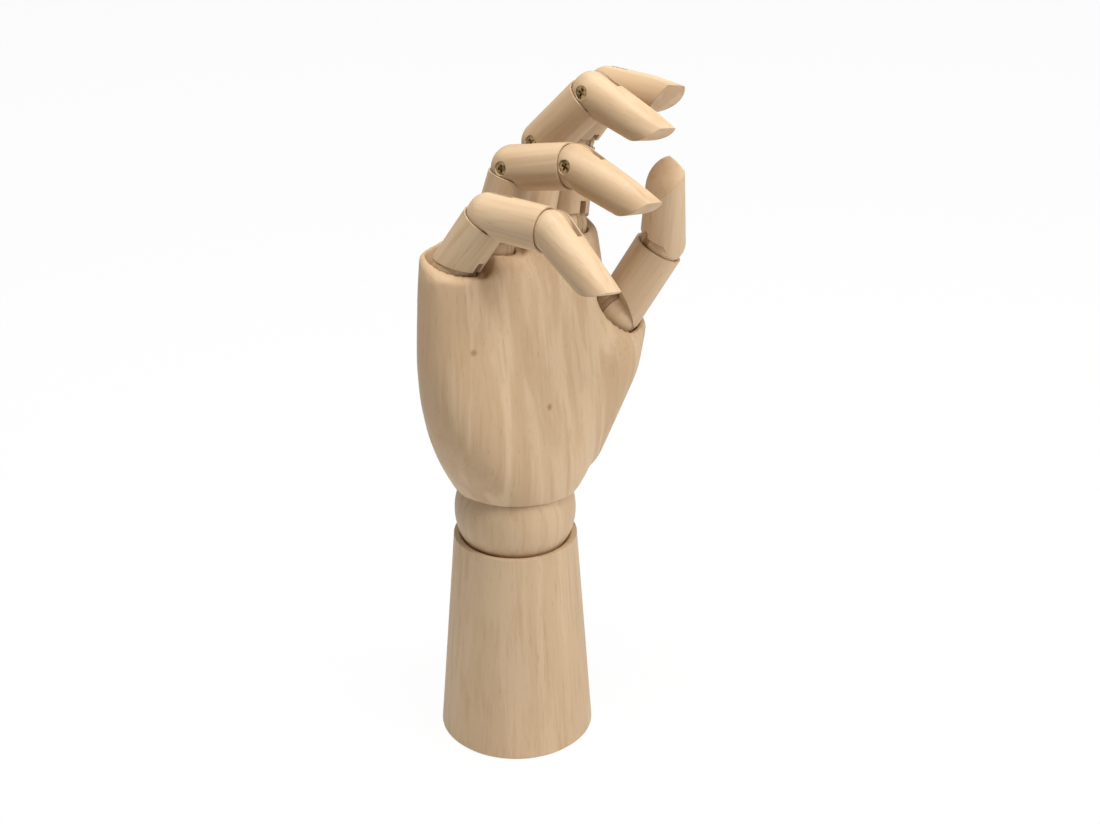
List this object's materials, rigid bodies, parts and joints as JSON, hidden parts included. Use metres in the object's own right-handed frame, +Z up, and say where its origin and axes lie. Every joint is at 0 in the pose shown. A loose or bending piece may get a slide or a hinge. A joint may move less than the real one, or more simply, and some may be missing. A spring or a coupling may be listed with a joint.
{
  "type": "wooden hand mannequin",
  "caption": "Free-standing wooden hand on a round forearm, with ball wrist and slotted finger hinges held by springs inside.",
  "frame": {"origin": "centre of the underside of the forearm's foot", "axes": "+Z up along the forearm, the palm faces -Y, the thumb is on +X and the pinky on -X"},
  "size_m": [0.1147, 0.0937, 0.2699],
  "materials": {
    "wood": "satin",
    "tongue_wood": "satin",
    "bronze": "satin",
    "steel": "satin"
  },
  "bodies": {
    "forearm": {"forearm": "wood", "base_pin": "steel"},
    "wrist_spring": {"wrist_spring": "steel"},
    "wrist_ball": {"wrist_ball": "wood"},
    "palm": {"palm": "wood", "gather_ring": "steel", "pinky_spring": "steel", "ring_spring": "steel", "middle_spring": "steel", "index_spring": "steel", "thumb_spring": "steel"},
    "pinky_eye": {"pinky_eye_screw": "steel"},
    "pinky_knuckle": {"pinky_knuckle": "tongue_wood"},
    "pinky_proximal": {"pinky_proximal": "wood", "pinky_knuckle_screw": "bronze", "pinky_middle_tongue": "tongue_wood"},
    "pinky_middle": {"pinky_middle": "wood", "pinky_middle_screw": "bronze", "pinky_distal_tongue": "tongue_wood"},
    "pinky_distal": {"pinky_distal": "wood", "pinky_distal_screw": "bronze"},
    "ring_eye": {"ring_eye_screw": "steel"},
    "ring_knuckle": {"ring_knuckle": "tongue_wood"},
    "ring_proximal": {"ring_proximal": "wood", "ring_knuckle_screw": "bronze", "ring_middle_tongue": "tongue_wood"},
    "ring_middle": {"ring_middle": "wood", "ring_middle_screw": "bronze", "ring_distal_tongue": "tongue_wood"},
    "ring_distal": {"ring_distal": "wood", "ring_distal_screw": "bronze"},
    "middle_eye": {"middle_eye_screw": "steel"},
    "middle_knuckle": {"middle_knuckle": "tongue_wood"},
    "middle_proximal": {"middle_proximal": "wood", "middle_knuckle_screw": "bronze", "middle_middle_tongue": "tongue_wood"},
    "middle_middle": {"middle_middle": "wood", "middle_middle_screw": "bronze", "middle_distal_tongue": "tongue_wood"},
    "middle_distal": {"middle_distal": "wood", "middle_distal_screw": "bronze"},
    "index_eye": {"index_eye_screw": "steel"},
    "index_knuckle": {"index_knuckle": "tongue_wood"},
    "index_proximal": {"index_proximal": "wood", "index_knuckle_screw": "bronze", "index_middle_tongue": "tongue_wood"},
    "index_middle": {"index_middle": "wood", "index_middle_screw": "bronze", "index_distal_tongue": "tongue_wood"},
    "index_distal": {"index_distal": "wood", "index_distal_screw": "bronze"},
    "thumb_eye": {"thumb_eye_screw": "steel"},
    "thumb_knuckle": {"thumb_knuckle": "tongue_wood"},
    "thumb_proximal": {"thumb_proximal": "wood", "thumb_knuckle_screw": "bronze", "thumb_distal_tongue": "tongue_wood"},
    "thumb_distal": {"thumb_distal": "wood", "thumb_distal_screw": "bronze"}
  },
  "joints": [
    {"name": "hand_turn", "type": "hinge", "parent": "forearm", "child": "wrist_spring", "pos_m": [0, 0, 0.0994], "axis": [0, 0, 1], "range_deg": [-90, 90]},
    {"name": "wrist_tilt", "type": "hinge", "parent": "wrist_spring", "child": "wrist_ball", "pos_m": [0, 0, 0.0994], "axis": [1, 0, 0], "range_deg": [-16, 24], "deforming": ["wrist_spring"]},
    {"name": "wrist_lean", "type": "hinge", "parent": "wrist_ball", "child": "palm", "pos_m": [0, 0, 0.0994], "axis": [0, 0.9976, -0.0698], "range_deg": [-26, 14], "deforming": ["wrist_spring"]},
    {"name": "pinky_lean", "type": "hinge", "parent": "palm", "child": "pinky_eye", "pos_m": [-0.02315, 0.00732, 0.20414], "axis": [0, 0.9976, -0.0698], "range_deg": [-13.7, 2.3], "deforming": ["pinky_spring"]},
    {"name": "pinky_turn", "type": "hinge", "parent": "pinky_eye", "child": "pinky_knuckle", "pos_m": [-0.02315, 0.00732, 0.20414], "axis": [0.2368, 0.0678, 0.9692], "range_deg": [-18.9, 2.6]},
    {"name": "pinky_knuckle_bend", "type": "hinge", "parent": "pinky_knuckle", "child": "pinky_proximal", "pos_m": [-0.02315, 0.00732, 0.20414], "axis": [0.9645, 0.1034, -0.2429], "range_deg": [-42.7, 3.3]},
    {"name": "pinky_middle_bend", "type": "hinge", "parent": "pinky_proximal", "child": "pinky_middle", "pos_m": [-0.01651, -0.0048, 0.22533], "axis": [0.9645, 0.1034, -0.2429], "range_deg": [-79.5, 10.5]},
    {"name": "pinky_tip_bend", "type": "hinge", "parent": "pinky_middle", "child": "pinky_distal", "pos_m": [-0.01343, -0.03333, 0.22544], "axis": [0.9645, 0.1034, -0.2429], "range_deg": [-55.6, 34.4]},
    {"name": "ring_lean", "type": "hinge", "parent": "palm", "child": "ring_eye", "pos_m": [-0.00306, 0.00811, 0.20681], "axis": [0, 0.9976, -0.0698], "range_deg": [-6.5, 2.3], "deforming": ["ring_spring"]},
    {"name": "ring_turn", "type": "hinge", "parent": "ring_eye", "child": "ring_knuckle", "pos_m": [-0.00306, 0.00811, 0.20681], "axis": [0.1994, 0.0684, 0.9775], "range_deg": [-16.9, 3.1]},
    {"name": "ring_knuckle_bend", "type": "hinge", "parent": "ring_knuckle", "child": "ring_proximal", "pos_m": [-0.00306, 0.00811, 0.20681], "axis": [0.9728, 0.106, -0.2058], "range_deg": [-24.1, 23.9]},
    {"name": "ring_middle_bend", "type": "hinge", "parent": "ring_proximal", "child": "ring_middle", "pos_m": [0.00385, 0.00266, 0.23663], "axis": [0.9728, 0.106, -0.2058], "range_deg": [-86.8, 3.2]},
    {"name": "ring_tip_bend", "type": "hinge", "parent": "ring_middle", "child": "ring_distal", "pos_m": [0.00799, -0.02447, 0.24222], "axis": [0.9728, 0.106, -0.2058], "range_deg": [-49.4, 40.6]},
    {"name": "middle_lean", "type": "hinge", "parent": "palm", "child": "middle_eye", "pos_m": [0.01687, 0.00819, 0.20793], "axis": [0, 0.9976, -0.0698], "range_deg": [-3.1, 1.7], "deforming": ["middle_spring"]},
    {"name": "middle_turn", "type": "hinge", "parent": "middle_eye", "child": "middle_knuckle", "pos_m": [0.01687, 0.00819, 0.20793], "axis": [0.2096, 0.0682, 0.9754], "range_deg": [-15.8, 4.2]},
    {"name": "middle_knuckle_bend", "type": "hinge", "parent": "middle_knuckle", "child": "middle_proximal", "pos_m": [0.01687, 0.00819, 0.20793], "axis": [0.9728, 0.0863, -0.2151], "range_deg": [-15.8, 32.2]},
    {"name": "middle_middle_bend", "type": "hinge", "parent": "middle_proximal", "child": "middle_middle", "pos_m": [0.02423, 0.00709, 0.24079], "axis": [0.9728, 0.0863, -0.2151], "range_deg": [-59, 31]},
    {"name": "middle_tip_bend", "type": "hinge", "parent": "middle_middle", "child": "middle_distal", "pos_m": [0.03052, -0.01168, 0.26171], "axis": [0.9728, 0.0863, -0.2151], "range_deg": [-86.3, 3.7]},
    {"name": "index_lean", "type": "hinge", "parent": "palm", "child": "index_eye", "pos_m": [0.0363, 0.00781, 0.2053], "axis": [0, 0.9976, -0.0698], "range_deg": [-1.7, 3.3], "deforming": ["index_spring"]},
    {"name": "index_turn", "type": "hinge", "parent": "index_eye", "child": "index_knuckle", "pos_m": [0.0363, 0.00781, 0.2053], "axis": [0.2368, 0.0678, 0.9692], "range_deg": [-4.3, 9.7]},
    {"name": "index_knuckle_bend", "type": "hinge", "parent": "index_knuckle", "child": "index_proximal", "pos_m": [0.0363, 0.00781, 0.2053], "axis": [0.9711, -0.0461, -0.2341], "range_deg": [-7.9, 38.1]},
    {"name": "index_middle_bend", "type": "hinge", "parent": "index_proximal", "child": "index_middle", "pos_m": [0.04419, 0.01127, 0.23736], "axis": [0.9711, -0.0461, -0.2341], "range_deg": [-59.1, 30.9]},
    {"name": "index_tip_bend", "type": "hinge", "parent": "index_middle", "child": "index_distal", "pos_m": [0.04861, -0.00276, 0.25844], "axis": [0.9711, -0.0461, -0.2341], "range_deg": [-73.1, 16.9]},
    {"name": "thumb_lean", "type": "hinge", "parent": "palm", "child": "thumb_eye", "pos_m": [0.05419, -0.00381, 0.16673], "axis": [0.9313, -0.061, -0.359], "range_deg": [-12, 6], "deforming": ["thumb_spring"]},
    {"name": "thumb_turn", "type": "hinge", "parent": "thumb_eye", "child": "thumb_knuckle", "pos_m": [0.05419, -0.00381, 0.16673], "axis": [0.3088, -0.3902, 0.8674], "range_deg": [-12, 3]},
    {"name": "thumb_knuckle_bend", "type": "hinge", "parent": "thumb_knuckle", "child": "thumb_proximal", "pos_m": [0.05419, -0.00381, 0.16673], "axis": [-0.193, -0.9187, -0.3446], "range_deg": [-4, 13]},
    {"name": "thumb_tip_bend", "type": "hinge", "parent": "thumb_proximal", "child": "thumb_distal", "pos_m": [0.06497, -0.01743, 0.197], "axis": [-0.193, -0.9187, -0.3446], "range_deg": [-56.7, 33.3]}
  ]
}
